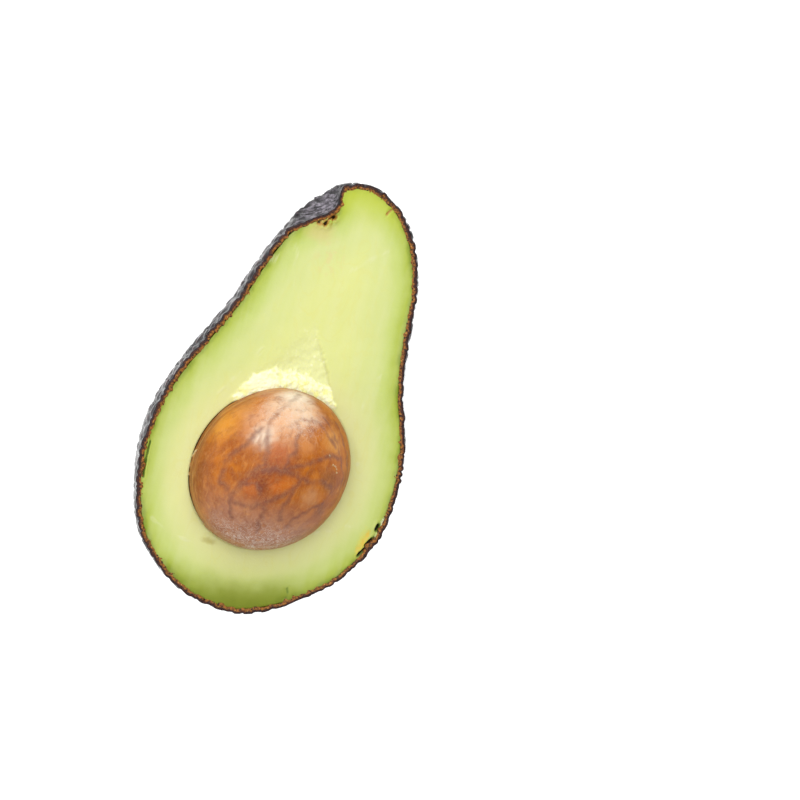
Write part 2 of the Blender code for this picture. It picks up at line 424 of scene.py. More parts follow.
def pebble(point):
    """Height of the skin's relief at a point, from 0 in a crease to 1 on the tallest pebble."""
    drifted = point + 1.5 * Vector(noise.noise_vector(point * 0.17))
    drifted += 0.35 * Vector(noise.noise_vector(point * 0.6))
    slanting = drifted.x * 0.45 + drifted.y * 0.75 + drifted.z * 0.3
    stretched = drifted + Vector((-0.75, 0.45, 0.3)) * (0.22 * slanting)
    near, next_near = noise.voronoi(stretched / PEBBLE_PITCH)[0][:2]
    dome = max(0.0, 1 - 1.15 * near * near)
    crease = ease(0.0, 0.3, next_near - near)
    joined = ease(-0.05, 0.35, noise.noise(point / 9 + Vector((5, 1, 2))))
    tallness = 0.62 + 0.38 * noise.cell(stretched / PEBBLE_PITCH * 0.8)
    return dome * (crease + (1 - crease) * 0.4 * joined) * (0.75 + 0.25 * tallness)


print("pebble heights", [round(pebble(Vector((30, y, -10))), 2) for y in range(20, 40, 4)])

# %% The outer skin
peel = fruit_form("peel_skin", 56, 40, 3)


def skin_relief(point):
    """How far the skin stands out here, in millimetres, and how much of that is a pebble and how much a fold."""
    near_scar = scar_nearness(point)
    smoothing = 0.35 * max(0.0, 1 - point.y / 55) + 0.9 * ease(0.25, 0.6, near_scar)
    bump = pebble(point) * max(0.0, 1 - smoothing)
    swell = 0.35 * noise.noise(point / 13) + 0.06 * noise.noise(point / 0.9)
    radial = point - SCAR_CENTRE - SCAR_RIGHTWARD * FOLDS_SHIFT
    angle = math.atan2(radial.z, radial.dot(SCAR_RIGHTWARD))
    folds = ease(0.12, 0.45, near_scar) * ease(0, 3, radial.length)
    wander = noise.noise(point * 0.35)
    fold = folds * (0.5 - 1.6 * abs(noise.noise(Vector((angle * 6.5 + 1.4 * wander, radial.length * 0.2, 1)))))
    fold += 0.6 * folds * noise.noise(Vector((angle * 15 + 2 * wander, radial.length * 0.5, 5)))
    return PEBBLE_HEIGHT * bump + swell + 0.55 * fold, bump, fold


print("folds of the hollow run out from", FOLDS_SHIFT, "mm to the right of its middle")

heights = []
folds = []
moved = []
for corner in peel.data.vertices:
    relief, bump, fold = skin_relief(corner.co)
    moved.append(dent(corner.co) + corner.normal * (relief - SKIN_SUNK))
    heights.append(bump)
    folds.append(fold)
nearness = [scar_nearness(corner.co) for corner in peel.data.vertices]
for corner, place in zip(peel.data.vertices, moved):
    corner.co = place
for name, stored in (("pebble", heights), ("scar", nearness), ("fold", folds), ("layer", [0.0] * len(heights))):
    keep_value(peel, name, stored)
print(peel.name, len(peel.data.vertices), "corners, tallest pebble", round(max(heights), 2))

# %% [markdown]
# The knife leaves the peel's thickness bare: a dark red layer under the skin and a grainy orange-brown one next to
# the flesh. New rows are pulled inwards from the open edge, each a little ragged, and their depth is stored, so
# that the finish can colour the layers. Behind them the wall turns down and meets a plain inner wall.

# %% The cut edge of the peel
PEEL_THICKNESS = 1.3
RIM_ROWS = (0.1, 0.24, 0.42, 0.6, 0.8, 1.0, 1.2)
LOW_ROW = 0.9  # how far the wall then turns down, leaning out a little
LOW_ROW_LEAN = 0.06
INNER_WALL_TOP = -2.2

keep_below(peel, 0)
form = hand()
row = open_edge(form, 0)
inward = inward_of(row, 5)
outline = [v.co.copy() for v in row]
rows = [row]
for depth in RIM_ROWS:
    def place(i, old, depth=depth):
        ragged = depth * (1 + 0.16 * noise.noise(outline[i] * 0.9 + Vector((0, 0, depth * 0.5)))
                          + 0.2 * noise.noise(outline[i] * 0.11))
        ragged += 0.55 * ease(0.75, 1.2, depth) * ease(0.18, 0.5, noise.noise(outline[i] * 0.8 + Vector((9, 0, 0))))
        grain = 0.16 * noise.noise(outline[i] * 2.1 + Vector((0, 0, depth * 4)))
        slope = 0.05 - 0.22 * ease(0.25, 0.0, depth)
        lowered = -0.16 * ease(0.65, 1.1, depth) * (0.4 + noise.noise(outline[i] * 0.7 + Vector((3, 3, 3))))
        spot = outline[i] + inward[i] * ragged
        return Vector((spot.x, spot.y, slope + grain * ease(0, 0.3, depth) + lowered))
    rows.append(pull(rows[-1], place))
    hand()
low_row = pull(rows[-1], lambda i, old: old + Vector((0, 0, -LOW_ROW)) - inward[i] * LOW_ROW_LEAN)
form = hand()
layer = form.verts.layers.float["layer"]
pebble_layer = form.verts.layers.float["pebble"]
for made, depth in zip(rows[1:] + [low_row], RIM_ROWS + RIM_ROWS[-1:]):
    for v in made:
        v[layer] = depth
        v[pebble_layer] = 0
bmesh.update_edit_mesh(peel.data)
leave()
print("peel's cut edge:", len(outline), "corners round,", len(RIM_ROWS), "rows")

# %% The inner wall of the peel
inner_wall = fruit_form("peel_inside", 28, 20, 2)
reshape(inner_wall, lambda place, normal: dent(place) - normal * PEEL_THICKNESS)
keep_below(inner_wall, INNER_WALL_TOP)
bpy.ops.mesh.select_all(action="SELECT")
bpy.ops.mesh.flip_normals()
leave()
keep_value(inner_wall, "layer", [RIM_ROWS[-1]] * len(inner_wall.data.vertices))
take(peel)
inner_wall.select_set(True)
bpy.ops.object.join()
edit(peel)
pick(lambda edge: edge.is_boundary, "edges")
bpy.ops.mesh.bridge_edge_loops()
leave()
print("peel", len(peel.data.polygons), "faces")

# %% [markdown]
# ## The flesh
#
# The flesh fills the peel. Its outer wall is hidden, so it stays plain. From its open edge one strip is pulled
# towards the hollow of the seed and cut into many rows, finest near the seed, where the flesh is torn.

# %% Places on the cut
SEED_CENTRE = Vector((-1.0, 36.0, 0.6))
SEED_RADII = Vector((17.9, 20.1, 18.3))
SEED_MEAN_RADIUS = 19
SEED_TURN = math.radians(-30)
SEED_PLACING = Matrix.Translation(SEED_CENTRE) @ Matrix.Rotation(SEED_TURN, 4, "Z")
SEED_UNPLACING = SEED_PLACING.inverted()


def on_egg(unit, grow=0.0):
    """The point of the seed's surface, grown all round, that a unit direction of its own frame leads to."""
    return SEED_PLACING @ Vector([unit[i] * (SEED_RADII[i] + grow) for i in range(3)])


def egg_share(point):
    """Below 1 inside the seed, 1 on its surface, above 1 outside."""
    own = SEED_UNPLACING @ point
    return Vector([own[i] / SEED_RADII[i] for i in range(3)]).length


def angle_round_seed(point):
    own = SEED_UNPLACING @ Vector((point.x, point.y, SEED_CENTRE.z))
    return math.atan2(own.y / SEED_RADII.y, own.x / SEED_RADII.x)


print("seed turned", round(math.degrees(SEED_TURN)), "degrees")

# %% [markdown]
# Lifting out the knife tore the flesh above the seed: a three-sided patch with a sharp right edge, pitted and dull
# at its tip and crumbly against the seed. Small marks belong to this very fruit: a slit and a hole at the lower
# right edge, a slit on the left, pores below the stem and a crease at the bottom.

# %% Marks of the cut
TEAR_TIP, TEAR_RIGHT, TEAR_LEFT = Vector((-0.9, 74.2, 0)), Vector((10.6, 54.2, 0)), Vector((-14.6, 49.8, 0))
TEAR_DEPTH = 0.9
SLITS = (  # start, end, half width, depth
    ((25.3, 21.5), (26.4, 23.4), 0.36, 1.5),
    ((26.4, 24.1), (27.5, 25.9), 0.42, 1.6),
    ((27.8, 28.3), (28.0, 29.3), 0.42, 1.6),
    ((-29.8, 35.2), (-29.7, 31.0), 0.2, 0.6),
    ((-29.7, 31.0), (-29.3, 26.8), 0.26, 0.7),
    ((10.9, 9.6), (11.3, 7.4), 0.25, 0.35),
    ((9.7, 100.8), (10.5, 102.2), 0.22, 0.5),
)
CREASES = (  # start, end: fine lines that the knife left
    ((-20.5, 76.6), (-15.6, 78.0)), ((-17.2, 84.4), (-13.0, 83.6)), ((-13.0, 83.6), (-12.6, 88.6)),
    ((-8.3, 82.9), (-4.0, 73.3)), ((-8.3, 82.9), (-9.6, 90.0)), ((11.0, 22.6), (23.6, 29.2)),
    ((-24.5, 17.8), (-19.0, 15.6)), ((-19.0, 15.6), (-12.5, 14.6)), ((-19.6, 46.4), (-9.8, 62.8)),
    ((14.6, 49.0), (19.4, 66.0)), ((5.6, 86.0), (12.8, 92.8)), ((18.9, 42.0), (20.6, 47.5)),
)
PORES = (((-2.3, 96.8), 0.8, 1.8), ((-3.7, 94.9), 0.7, 1.5), ((-5.2, 94.6), 0.55, 1.3), ((-3.2, 96.1), 0.4, 0.8),
         ((-4.6, 95.6), 0.25, 0.6))


def beyond(point, start, end):
    """How far a point lies to the left of the line from start to end."""
    run = (end - start).normalized()
    offset = point - start
    return run.x * offset.y - run.y * offset.x


def from_line(point, start, end):
    """Distance of a point from the stretch between start and end."""
    run = end - start
    share = min(1.0, max(0.0, (point - start).dot(run) / run.length_squared))
    return (start + run * share - point).length


def torn(point):
    """0 to 1, twice: how far inside the torn patch a point of the cut lies, softly and with a sharp edge."""
    flat = level(point)
    wobble = 0.5 * noise.noise(flat * 0.45) + 0.25 * noise.noise(flat * 1.4)
    from_right = beyond(flat, TEAR_RIGHT, TEAR_TIP) + wobble
    from_left = beyond(flat, TEAR_TIP, TEAR_LEFT) + 2 * wobble
    above_seed = beyond(flat, TEAR_LEFT, TEAR_RIGHT)
    sharp = ease(0, 0.8, from_right) * ease(-1.5, 0.5, above_seed)
    return sharp * ease(-0.5, 7.5, from_left), sharp * ease(-0.6, 1.2, from_left)


def marks(point, from_seed):
    """Height of the cut at a point, and how torn, crumbly, deep in a slit or pore, and creased it is there."""
    flat = level(point)
    inside, sharply = torn(flat)
    crumbly = sharply * ease(5.0, 3.0, from_seed + 1.7 * noise.noise(flat * 0.33) + 0.9 * noise.noise(flat * 1.1))
    height = 0.16 * noise.noise(flat / 11) + 0.05 * noise.noise(flat / 3)
    if inside > 0:
        height -= inside * TEAR_DEPTH * (0.3 + 0.7 * ease(74, 62, flat.y)) * ease(0.5, 5.0, from_seed)
        cells = noise.voronoi(flat / 2.6 + Vector((0, 0, 2)))[0]
        height += inside * (0.2 * (cells[1] - cells[0]) + 0.12 * noise.noise(flat / 1.1))
        grains = noise.voronoi(flat / 1.1 + 0.4 * Vector(noise.noise_vector(flat * 0.8)))[0]
        height += crumbly * (0.5 - 0.3 * grains[0] + 0.12 * noise.noise(flat * 2.1))
    crease = 0.0
    for start, end in CREASES:
        away = from_line(flat, level(start), level(end)) + 1.2 * noise.noise(flat * 0.25)
        broken = ease(-0.3, 0.3, noise.noise(flat * 0.4 + Vector((0, 0, 7))))
        crease = max(crease, ease(0.42, 0.05, abs(away)) * broken)
    height += 0.05 * crease
    dark = 0.0
    for start, end, width, depth in SLITS:
        away = from_line(flat, level(start), level(end)) + 0.12 * noise.noise(flat * 2.2)
        inner = ease(width * 1.5, width * 0.5, away)
        height += 0.3 * depth * ease(width * 4, width * 1.6, away) * (1 - inner) * 0.6 - depth * inner
        dark = max(dark, inner * min(1, depth))
    for centre, radius, depth in PORES:
        away = (flat - level(centre)).length + 0.25 * noise.noise(flat * 1.7)
        inner = ease(radius * 1.3, radius * 0.5, away)
        height += 0.25 * ease(radius * 2.6, radius * 1.4, away) * (1 - inner) - depth * inner
        dark = max(dark, inner)
    return height, inside, crumbly, dark, crease


def hollow_rim(angle):
    """The point of the hollow's rim at an angle round the seed. The flesh has shrunk off the seed at the left."""
    shrunk = 0.1 * ease(0.45, 0.9, -math.cos(angle - 0.25)) + 0.06 * ease(0.75, 0.95, math.cos(angle - 0.1))
    gap = -0.06 + shrunk + 0.07 * noise.noise(Vector((math.cos(angle) * 2.2, math.sin(angle) * 2.2, 4)))
    outward = Vector((math.cos(angle), math.sin(angle), 0))
    return level(on_egg(outward, gap - 0.3 * torn(on_egg(outward, gap))[1]))


def angles_in_order(row, reach=16):
    """The angles of a closed row round the seed, in order and spread where the outline turns back on itself."""
    angles = [angle_round_seed(v.co) for v in row]
    for i in range(1, len(angles)):
        while angles[i] - angles[i - 1] > math.pi:
            angles[i] -= 2 * math.pi
        while angles[i] - angles[i - 1] < -math.pi:
            angles[i] += 2 * math.pi
    angles.sort(reverse=angles[-1] < angles[0])
    turn = math.copysign(2 * math.pi, angles[-1] - angles[0])
    around = [a - turn for a in angles[-reach:]] + angles + [a + turn for a in angles[:reach]]
    return [sum(around[i:i + 2 * reach + 1]) / (2 * reach + 1) for i in range(len(angles))]


print("the tear is", round((TEAR_RIGHT - TEAR_LEFT).length, 1), "mm wide at the seed")
print("rim of the hollow is", round((hollow_rim(0) - hollow_rim(math.pi)).length, 1), "mm wide")

# %% The body of the flesh
FLESH_INSET = 1.28
FACE_ROWS_FAR, FACE_ROWS_NEAR = 34, 62
MIDDLE_ROW = 0.55  # the share of the way to the hollow where the rows get finer
RELAXED_ABOVE, RELAXING_ROUNDS = 62, 60
EDGE_OUT, EDGE_BELOW = 0.3, 0.35
EDGE_ROWS = ((0.14, 0.29), (0.5, 0.35))  # inward and upward from the edge, where it rounds over to the cut
flesh = fruit_form("flesh_body", 48, 56, 2)
reshape(flesh, lambda place, normal: dent(place) - normal * FLESH_INSET)
keep_below(flesh, 0)
form = hand()
row = open_edge(form, 0)
inward = inward_of(row, 3)
edge_line = [v.co.copy() for v in row]
for v, place, direction in zip(row, edge_line, inward):
    v.co = place - direction * EDGE_OUT + Vector((0, 0, -EDGE_BELOW))
edge_line = [v.co.copy() for v in row]
for inset, rise in EDGE_ROWS:
    row = pull(row, lambda i, old: edge_line[i] + inward[i] * inset + Vector((0, 0, rise)))
    hand()
kept = {v.index for v in row}
angles = angles_in_order(row)
middle_row = pull(row, lambda i, old: old + (hollow_rim(angles[i]) - old) * MIDDLE_ROW)
cut_between(row, middle_row, FACE_ROWS_FAR)
form = hand()
inner_edge = open_edge(form, 0)
angles = angles_in_order(inner_edge)
near_row = pull(inner_edge, lambda i, old: hollow_rim(angles[i]))
cut_between(inner_edge, near_row, FACE_ROWS_NEAR)
pick(lambda v: v.co.y > RELAXED_ABOVE and abs(v.co.z) < 0.001 and v.index not in kept)
bpy.ops.mesh.vertices_smooth(factor=0.5, repeat=RELAXING_ROUNDS, zaxis=False)
leave()
print("flesh", len(flesh.data.vertices), "corners")

# %% The hollow under the seed
edit(flesh)
form = hand()
row = open_edge(form, 0)
rim = [v.co.copy() for v in row]
for tilt in (14, 24, 36, 50, 64, 78):
    def place(i, old, tilt=math.radians(tilt)):
        angle = angle_round_seed(rim[i])
        unit = Vector((math.cos(angle) * math.cos(tilt), math.sin(angle) * math.cos(tilt), -math.sin(tilt)))
        return on_egg(unit, 0.35)
    row = pull(row, place)
    hand()
kept = {v.index for v in row}
pick(lambda v: v.index in kept)
bpy.ops.mesh.merge(type="CENTER")
leave()
print("the hollow is", round(-min(v.co.z for v in flesh.data.vertices if abs(v.co.x) < 3), 1), "mm deep")

# %% Relief and stored values of the cut
nearest_peel = tree_of([level(place) for place in edge_line])
rows = []
for corner in flesh.data.vertices:
    below = level(corner.co)
    on_cut = corner.co.z > -0.5
    from_peel = nearest_peel.find(below)[2]
    from_seed = max(0.0, (egg_share(below) - 1) * SEED_MEAN_RADIUS)
    height, inside, crumbly, dark, crease = marks(below, from_seed) if on_cut else (0, 0, 0, 0, 0)
    if on_cut:
        edge_ease = ease(0.1, 0.9, from_peel)
        height = height * edge_ease if dark < 0.05 else height
        corner.co.z += height - 0.12 * ease(0.4, 0.0, from_seed) * (1 - crumbly)
    rows.append((from_peel if on_cut else 0.0, from_seed, inside, crumbly, dark, crease))
for name, stored in zip(("from_peel", "from_seed", "torn", "crumb", "dark", "crease"), zip(*rows)):
    keep_value(flesh, name, stored)
print("deepest part of the tear", round(min(v.co.z for v in flesh.data.vertices if egg_share(v.co) > 1.01 and
                                            v.co.y > 56 and abs(v.co.x) < 6 and v.co.z > -5), 2), "mm")

# %% [markdown]
# ## The seed
#
# The seed is a near-round egg. A cube, cut into many small squares and pressed to a ball, has squares of one size
# all over and no poles, which suits a surface with fine veins. Its coat is brown and papery, with veins that stand
# out a little, two of them closing to a loop.

# %% The seed's form
SEED_CUTS = 100

bpy.ops.mesh.primitive_cube_add(size=2)
seed = bpy.context.object
seed.name = "seed_coat"
edit(seed)
bpy.ops.mesh.select_all(action="SELECT")
bpy.ops.mesh.subdivide(number_cuts=SEED_CUTS)
bpy.ops.mesh.select_all(action="SELECT")
bpy.ops.transform.tosphere(value=1)
leave()
radius = seed.data.vertices[0].co.length
print("seed starts as a ball of radius", round(radius, 3), "with", len(seed.data.vertices), "corners")

# %% Veins
VEIN_STEP = 0.25
VEIN_WANDER = 0.55
VEINS = (  # width, then places across and along the cut, as the camera sees them
    (0.8, ((1.2, 54.9), (-0.9, 51.9), (-2.4, 49.5), (-3.8, 47.0), (-3.8, 44.9), (-3.3, 42.3), (-2.7, 40.7),
           (-2.5, 38.4), (-2.5, 36.6), (-3.9, 35.0), (-5.8, 33.0))),
    (0.9, ((-5.2, 44.5), (-7.9, 40.2), (-10.8, 36.7), (-11.5, 32.9), (-11.5, 30.5), (-9.4, 28.7))),
    (0.9, ((-7.7, 26.2), (-7.9, 28.0), (-6.4, 31.1), (-4.6, 33.3), (-2.1, 35.2), (0.6, 36.3), (2.9, 36.6),
           (5.5, 36.2), (7.3, 35.5))),
    (0.9, ((7.3, 35.2), (6.0, 33.3), (5.0, 31.6), (2.5, 29.7), (0.0, 27.8), (-2.0, 26.3), (-4.2, 25.7),
           (-7.5, 26.3))),
    (0.6, ((-5.8, 30.9), (-2.9, 31.7), (-1.9, 30.8), (-1.7, 29.4))),
    (0.8, ((7.3, 35.5), (10.0, 35.5), (12.9, 36.1), (14.2, 35.6), (15.0, 34.1))),
    (0.7, ((2.6, 36.8), (5.0, 38.1), (6.6, 38.6), (8.7, 40.0), (10.7, 41.5), (12.8, 42.7), (15.0, 42.4))),
    (0.6, ((2.6, 36.8), (2.8, 39.3), (4.0, 41.4), (3.5, 44.2), (3.7, 46.7), (2.0, 48.0), (3.2, 49.1), (5.8, 49.7),
           (8.5, 48.9), (10.9, 46.9), (13.0, 45.1))),
    (0.7, ((6.1, 33.1), (5.0, 29.5), (4.3, 26.9), (4.7, 24.3))),
    (0.7, ((0.2, 27.3), (0.3, 24.9), (0.0, 22.7), (0.4, 20.5))),
    (0.6, ((13.5, 31.0), (10.5, 28.6), (7.9, 26.1), (6.8, 23.4))),
    (0.6, ((-7.9, 26.8), (-7.4, 23.9), (-6.3, 22.5))),
    (0.45, ((8.2, 50.9), (10.9, 49.0), (13.4, 45.8), (15.4, 42.2), (16.5, 38.9), (17.0, 35.5))),
    (0.45, ((11.4, 50.6), (14.2, 47.2), (16.2, 43.6), (17.5, 39.2), (17.7, 35.1))),
)


def on_seed(across, up):
    """The point of the seed that covers a place of the cut when seen from the camera."""
    start = Vector((across, up, 0))
    way = (camera_place - start).normalized()
    low, high = 0.0, 25.0
    if egg_share(start) > 1:
        return on_egg((SEED_UNPLACING @ start).normalized())
    for _ in range(24):
        half = (low + high) / 2
        low, high = (half, high) if egg_share(start + way * half) < 1 else (low, half)
    return start + way * low


vein_points = []
for width, places in VEINS:
    for (x0, y0), (x1, y1) in zip(places, places[1:]):
        steps = max(2, int(math.hypot(x1 - x0, y1 - y0) / VEIN_STEP))
        for step in range(steps):
            t = step / steps
            x, y = x0 + (x1 - x0) * t, y0 + (y1 - y0) * t
            wander = Vector(noise.noise_vector(Vector((x, y, 0)) * 0.55)) * VEIN_WANDER
            vein_points.append((on_seed(x + wander.x, y + wander.y), width))
vein_tree = tree_of([place for place, _ in vein_points])
print(len(vein_points), "steps along", len(VEINS), "veins")

# %% The seed's relief
FLECKS = (  # start, end, half width: shreds of flesh that stayed on the coat
    ((-18.9, 35.8), (-19.3, 34.4), 0.4), ((-19.5, 33.6), (-19.7, 33.0), 0.4), ((-19.9, 31.2), (-19.9, 30.9), 0.3),
    ((12.1, 42.7), (12.2, 42.5), 0.25), ((13.6, 40.7), (14.6, 40.1), 0.16), ((14.6, 40.1), (14.9, 39.0), 0.16),
    ((-12.2, 19.2), (-11.4, 18.2), 0.3), ((2.4, 16.9), (4.2, 16.9), 0.35),
)
flecks = [(on_seed(*start), on_seed(*end), width) for start, end, width in FLECKS]
vein_values = []
fleck_values = []
for corner in seed.data.vertices:
    unit = corner.co.normalized()
    spot = on_egg(unit)
    _, i, away = vein_tree.find(spot)
    width = vein_points[i][1]
    vein = ease(width * 1.35, 0.0, away + 0.35 * noise.noise(spot * 0.9))
    lump = 0.22 * noise.noise(spot / 7) + 0.05 * noise.noise(spot / 1.6)
    fleck = 0.0
    for start, end, width in flecks:
        beside = from_line(spot, start, end) + 0.35 * noise.noise(spot * 1.9)
        fleck = max(fleck, ease(width, width * 0.4, beside))
    corner.co = on_egg(unit, lump + 0.04 * vein + 0.3 * fleck - 0.1)
    vein_values.append(vein)
    fleck_values.append(fleck)
keep_value(seed, "vein", vein_values)
keep_value(seed, "fleck", fleck_values)
print("seed is", [round(max(v.co[i] for v in seed.data.vertices) - min(v.co[i] for v in seed.data.vertices), 1)
                  for i in range(3)], "mm")

# %% [markdown]
# ## Finishes
#
# A finish is a tree of nodes. So that it reads like arithmetic, a socket is wrapped in a small class: adding or
# multiplying two of them adds the Math node. Places are read in the fruit's own millimetres, by a Mapping node that
# undoes how the fruit was laid down.

# %% Wires and paints
class Wire:
    """A socket of a finish. Arithmetic on it adds Math nodes."""

    def __init__(self, paint, socket):
        self.paint, self.socket = paint, socket

    def out(self, name):
        return Wire(self.paint, self.socket.node.outputs[name])

    def maths(self, operation, first, second):
        return self.paint.node("Math", {0: first, 1: second}, operation=operation)

    def __add__(self, other):
        return self.maths("ADD", self, other)

    def __sub__(self, other):
        return self.maths("SUBTRACT", self, other)

    def __rsub__(self, other):
        return self.maths("SUBTRACT", other, self)

    def __mul__(self, other):
        return self.maths("MULTIPLY", self, other)

    def __pow__(self, other):
        return self.maths("POWER", self, other)

    def atleast(self, other):
        return self.maths("MAXIMUM", self, other)

    def ease(self, low, high, start=0.0, end=1.0):
        """start below low, end above high, and a smooth run between."""
        if low > high:
            low, high, start, end = high, low, end, start
        return self.paint.node("MapRange", {"Value": self, "From Min": low, "From Max": high, "To Min": start,
                                            "To Max": end}, interpolation_type="SMOOTHSTEP")

    __radd__, __rmul__ = __add__, __mul__


class Paint:
    """A finish that is being mixed."""

    def __init__(self, name, **constants):
        self.material = bpy.data.materials.new(name)
        self.material.use_nodes = True
        self.tree = self.material.node_tree
        self.shader = self.tree.nodes["Principled BSDF"]
        for socket, value in constants.items():
            self.shader.inputs[socket.replace("_", " ")].default_value = value
        turn_back = TURNED.to_3x3().transposed()
        coordinates = self.node("TexCoord").out("Object")
        self.place = self.node("Mapping", {
            "Vector": coordinates, "Scale": (1 / MILLIMETRE,) * 3, "Rotation": tuple(turn_back.to_euler()),
            "Location": tuple(-(turn_back @ REST_PLACE) / MILLIMETRE)})

    def node(self, kind, sockets=None, **settings):
        made = self.tree.nodes.new("ShaderNode" + kind)
        for name, value in settings.items():
            setattr(made, name, value)
        for name, value in (sockets or {}).items():
            self.feed(made.inputs[name], value)
        return Wire(self, next(socket for socket in made.outputs if socket.enabled))

    def feed(self, socket, value):
        if isinstance(value, Wire):
            self.tree.links.new(value.socket, socket)
        elif isinstance(value, tuple) and socket.type == "RGBA" and len(value) == 3:
            socket.default_value = (*value, 1)
        else:
            socket.default_value = value

    def feeds(self, **sockets):
        for name, value in sockets.items():
            self.feed(self.shader.inputs[name.replace("_", " ")], value)

    def stored(self, name):
        return self.node("Attribute", attribute_name=name).out("Fac")

    def clouds(self, size, detail=3.0, roughness=0.5, warp=0.0, stretch=(1, 1, 1), shift=0.0):
        """Noise from 0 to 1 whose blotches are about size millimetres, wider where stretch says."""
        spaced = self.node("Mapping", {"Vector": self.place, "Location": (shift, shift * 2, shift * 3),
                                       "Scale": tuple(1 / (size * s) for s in stretch)})
        return self.node("TexNoise", {"Vector": spaced, "Scale": 1.0, "Detail": detail, "Roughness": roughness,
                                      "Distortion": warp})

    def cells(self, size):
        return self.node("TexVoronoi", {"Vector": self.place, "Scale": 1 / size})

    def spot(self, centre, radii, ragged=0.0):
        """1 at a centre and 0 past the radii, in millimetres."""
        offset = self.node("VectorMath", {0: self.place, 1: tuple(centre)}, operation="SUBTRACT")
        shares = self.node("VectorMath", {0: offset, 1: tuple(1 / r for r in radii)}, operation="MULTIPLY")
        length = self.node("VectorMath", {0: shares}, operation="LENGTH").out("Value")
        if ragged:
            length = length + (self.clouds(radii[0] * 0.4) - 0.5) * ragged
        return length.ease(1.0, 0.15)

    def mix(self, share, first, second):
        return self.node("Mix", {0: share, 6: first, 7: second}, data_type="RGBA")

    def cover(self, share, over):
        """Lays another tone over the one so far."""
        self.tone = self.mix(share, self.tone, over)

    def brush(self, share, red, green, blue):
        self.cover(share, colour(red, green, blue))

    def bump(self, height, millimetres, strength=0.5):
        return self.node("Bump", {"Height": height, "Distance": millimetres * MILLIMETRE, "Strength": strength})


BRIGHTNESS = 1.62


def colour(red, green, blue):
    """The paint that looks like this screen colour, 0 to 255, under the bright light of this table."""
    linear = (((c / 255 + 0.055) / 1.055) ** 2.4 if c > 10 else c / 255 / 12.92 for c in (red, green, blue))
    return tuple(part / BRIGHTNESS for part in linear)


print("white paint is", round(colour(255, 255, 255)[0], 3))

# %% [markdown]
# The peel is glossy and almost black, purple in the light, with dark red on the tips of the pebbles. In the stem's
# hollow it is greyer and duller, the ridges of its folds pale grey, partly bloom and partly painted sheen. The
# stored depth tells the layers of the cut edge apart.

# %% The peel's finish
skin = Paint("avocado_peel", Specular_IOR_Level=0.28, Coat_IOR=1.45, Coat_Roughness=0.1)
tip = skin.stored("pebble")
scar = skin.stored("scar").ease(0.3, 0.75)
depth = skin.stored("layer") + (skin.clouds(0.8) - 0.5) * 0.5 * skin.stored("layer").ease(0.05, 0.3)
skin.tone = skin.mix(skin.clouds(9), colour(12, 9, 16), colour(24, 13, 22))
red_tips = tip.ease(0.35, 0.8) * skin.clouds(1.6, 2).ease(0.5, 0.66)
skin.brush(red_tips * 0.8, 82, 20, 26)
fold = skin.stored("fold")
on_folds = fold.ease(-0.1, 0.5) * skin.clouds(0.9).ease(0.3, 0.7)
# Partly painted sheen: the ridges of the folds in the stem's hollow are painted pale grey, partly the skin's bloom.
skin.cover(scar, skin.mix(on_folds, colour(16, 12, 18), colour(160, 152, 164)))
specks = skin.cells(0.5).ease(0.32, 0.1) * skin.clouds(2.2).ease(0.5, 0.62)
skin.brush(specks * 0.35, 150, 120, 118)
grain = skin.clouds(0.55, 4, 0.6)
red_layer = skin.mix(grain.ease(0.35, 0.65), colour(22, 8, 7), colour(84, 34, 20))
orange_layer = skin.mix(grain.ease(0.36, 0.6), colour(50, 22, 8), colour(172, 108, 34))
granules = skin.cells(0.7).ease(0.34, 0.14) * skin.clouds(1.3).ease(0.42, 0.58)
orange_layer = skin.mix(granules * 0.6, orange_layer, colour(240, 178, 92))
red_depth = depth - (skin.clouds(7) - 0.4) * 0.9
layers = skin.mix(red_depth.ease(0.34, 0.66), red_layer, orange_layer)
pits = skin.cells(0.9).ease(0.28, 0.14) * depth.ease(0.4, 0.7)
layers = skin.mix(pits * 0.85, layers, colour(24, 9, 6))
layers = skin.mix(depth.ease(0.26, 0.06), layers, colour(16, 8, 11))
cut_share = skin.stored("layer").ease(0.0, 0.1)
skin.cover(cut_share, layers)
skin_fine = skin.clouds(0.5, 3) * 0.5 + skin.clouds(0.16, 2) * 0.2
peel_bump = skin.bump(skin_fine * 0.25 + cut_share * grain * 0.8, 0.14)
gloss = 0.12 + skin.clouds(2.5) * 0.1 + scar * 0.14
skin.feeds(Base_Color=skin.tone, Roughness=gloss + cut_share * 0.4, Normal=peel_bump,
           Coat_Weight=(1 - cut_share) * 0.15)
print("peel finish has", len(skin.tree.nodes), "nodes")

# %% [markdown]
# The flesh runs from green under the peel through yellow-green to cream at the seed. It is moist and lets a little
# light through, so it gets some subsurface scattering, the same all over. Faint streaks run along the fruit.

# %% The flesh's finish
pulp = Paint("avocado_flesh", Subsurface_Weight=0.22, Subsurface_Scale=0.0022,
             Subsurface_Radius=(1.0, 0.9, 0.35), Specular_IOR_Level=0.25)
uneven = pulp.clouds(7, 2) - 0.5
up = pulp.node("SeparateXYZ", {"Vector": pulp.place}).out("Y")
# Painted shade: toward the bottom end of the cut the flesh is painted darker and greener, with a wider green band
# by the peel, over flesh that is a little greener there of itself.
bottom = pulp.spot((3, -2, 0), (34, 22, 30), 0.3)
from_peel = pulp.stored("from_peel") * (1 - bottom * 0.5) + uneven * 2 + (pulp.clouds(2.5) - 0.5) * 1.0
from_seed = pulp.stored("from_seed") + uneven * 2
pulp.tone = pulp.mix(from_peel.ease(-0.2, 1.5), colour(134, 154, 28), colour(185, 201, 76))
pulp.brush(from_peel.ease(0.8, 3.8), 209, 223, 124)
pulp.brush(from_peel.ease(3.0, 7.0), 225, 233, 151)
pulp.brush(from_peel.ease(6.0, 15.0), 235, 239, 153)
